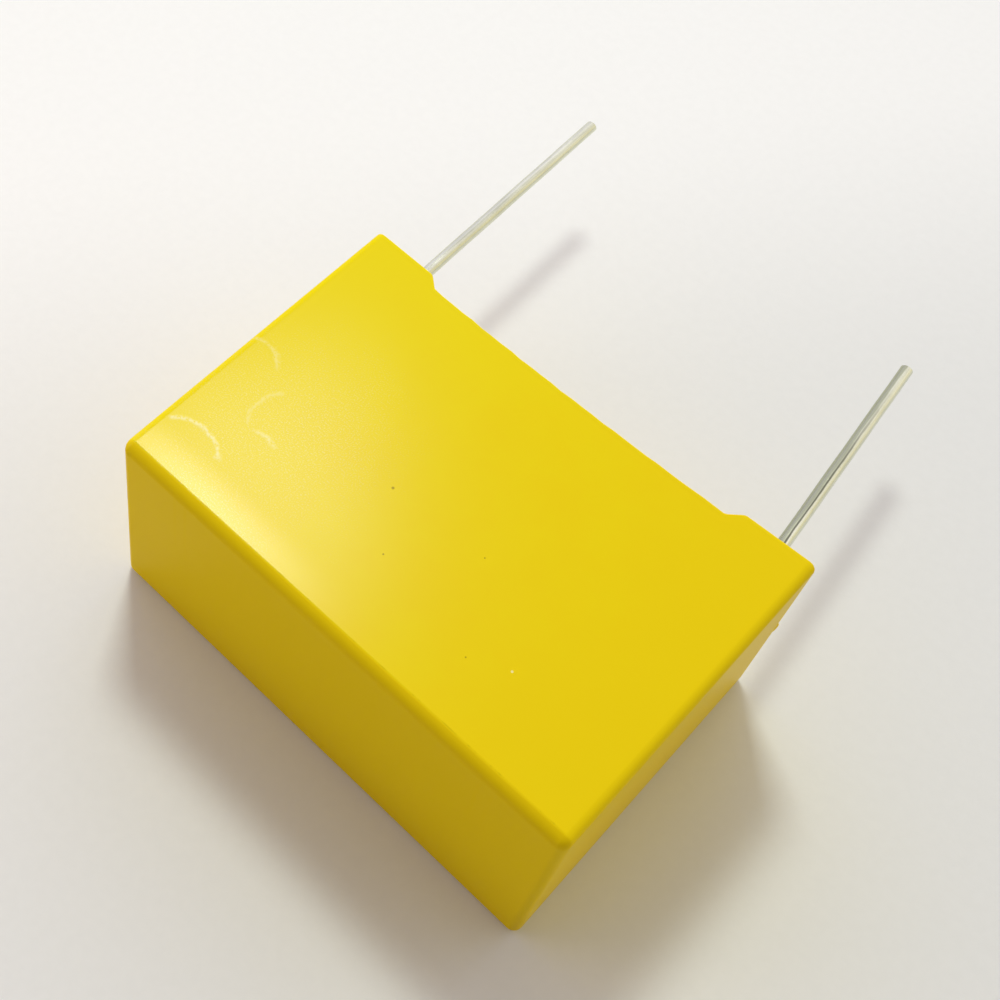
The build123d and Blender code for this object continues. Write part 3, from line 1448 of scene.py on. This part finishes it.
@dataclass
class Studio:
    """Pale table, a small soft key light and a room that is brighter behind the leads."""

    table_size: float = 1.2
    table_depth: float = 2 * MM
    subject: Triple = (0.0, 0.0, 7.5 * MM)
    dim: Triple = (0.12, 0.095, 0.075)
    glows: tuple[Glow, ...] = (
        Glow((-1.0, 0.0, 0.3), 2.0, 1.0, (0.70, 0.69, 1.02)),
        Glow((0.0, 1.0, 0.3), 2.0, 1.0, (1.14, 1.12, 1.18)),
        Glow((1.0, 0.05, 0.3), 3.0, 1.0, (0.54, 0.48, 0.13)),
        Glow((0.1, -0.52, 0.85), 14.0, -1.0, (0.17, 0.10, 0.02)),
    )
    lights: tuple[SoftLight, ...] = (
        SoftLight("window", (-0.347, 0.330, 0.870), 0.30, 0.055, 0.43, (0.84, 0.90, 0.82)),
        SoftLight("left_fill", (-0.077, -0.070, 0.030), 0.108, 0.04, 0.0150, (1.0, 0.80, 0.68)),
    )

    def lay_table(self) -> None:
        """Lays a thin pale slab under the object."""
        clear_selection()
        bpy.ops.mesh.primitive_plane_add(size=self.table_size)
        piece = Workpiece("table")
        piece.pick(Pick.FACES)
        piece.pull((0.0, 0.0, -self.table_depth))
        table = piece.close()
        table.data.materials.append(PalePaper().build("pale_paper"))

    def light_room(self) -> None:
        """Tints the room: dim and warm all round, with its glows on top."""
        room = Graph("room", bpy.data.worlds)
        towards = room.node("ShaderNodeTexCoord", output="Generated")
        total: Any = self.dim
        for glow in self.glows:
            sockets = {0: towards, 1: Vector(glow.towards).normalized()}
            settings = {"operation": "DOT_PRODUCT"}
            facing = room.node("ShaderNodeVectorMath", settings, sockets, "Value")
            share = facing.most(0.0).power(glow.narrowness) * glow.strength
            total = room.mix(share, total, glow.colour, "ADD")
        background = room.node("ShaderNodeBackground", None, {"Color": total})
        room.node("ShaderNodeOutputWorld", None, {"Surface": background})
        bpy.context.scene.world = room.owner

    def build(self) -> None:
        """Lays the table, lights the room and hangs the lights."""
        self.lay_table()
        self.light_room()
        for light in self.lights:
            light.build(Vector(self.subject))
        bpy.context.scene.view_settings.view_transform = "Standard"


# ---- Putting it together ---------------------------------------------------------------------
# Share of painted reflection shade on one side of each lead
LEAD_REFLECTION_SHADE = {"lead_left": 0.22, "lead_right": 0.9}
WOUND_FILM = InnerFinish(
    colour=(0.72, 0.72, 0.70), shade=(0.58, 0.58, 0.57), metallic=0.6, roughness=0.3,
    stretch=(0.1, 6.0, 6.0), relief=0.01,
)
SPRAYED_ZINC = InnerFinish(
    colour=(0.46, 0.46, 0.45), shade=(0.36, 0.36, 0.35), metallic=0.8, roughness=0.7,
    stretch=(3.0, 3.0, 3.0), relief=0.05,
)


def dress(obj: bpy.types.Object, material: bpy.types.Material, slot: str = "", *nodes: str) -> None:
    """Gives a piece its finish and, for a new piece, its place in the frame.

    Args:
        obj: New piece or CAD node.
        material: Finish for its whole surface.
        slot: The record's material slot for a new piece; not used.
        nodes: CAD nodes that a new piece stands for.
    """
    obj.data.materials.clear()
    obj.data.materials.append(material)
    if nodes:
        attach(obj, "root")
        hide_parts(*nodes)
    log.info("%s: %d faces, %s", obj.name, len(obj.data.polygons), material.name)


def main() -> None:
    """Builds the studio and every piece in order."""
    logging.basicConfig(level=logging.INFO, format="%(name)s: %(message)s")
    Studio().build()
    Camera().build()

    case = MouldedCase()
    plastic = MouldedYellow().build("moulded_yellow", case.crease_y / MM, case.depth / MM)
    dress(case.build(), plastic, "case_plastic", "case")

    resin = ResinFill()
    leads = [LeadWire(node, resin.level) for node in LEAD_REFLECTION_SHADE]
    dress(resin.build(leads), PottedResin().build("potted_resin"), "resin", "potting_resin")
    for lead in leads:
        start = (lead.root.x / MM, lead.bend_y / MM, lead.root.z / MM)
        finish = TinnedWire(LEAD_REFLECTION_SHADE[lead.node])
        wire = finish.build(f"tinned_wire_{lead.node}", start, lead.lean)
        dress(lead.build(), wire, "tinned_wire", lead.node)

    dress(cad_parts["film_winding"], WOUND_FILM.build("wound_film"))
    for side in ("left", "right"):
        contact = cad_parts[f"end_contact_{side}"]
        dress(contact, SPRAYED_ZINC.build(f"sprayed_zinc_{side}"))


if __name__ == "__main__":
    main()
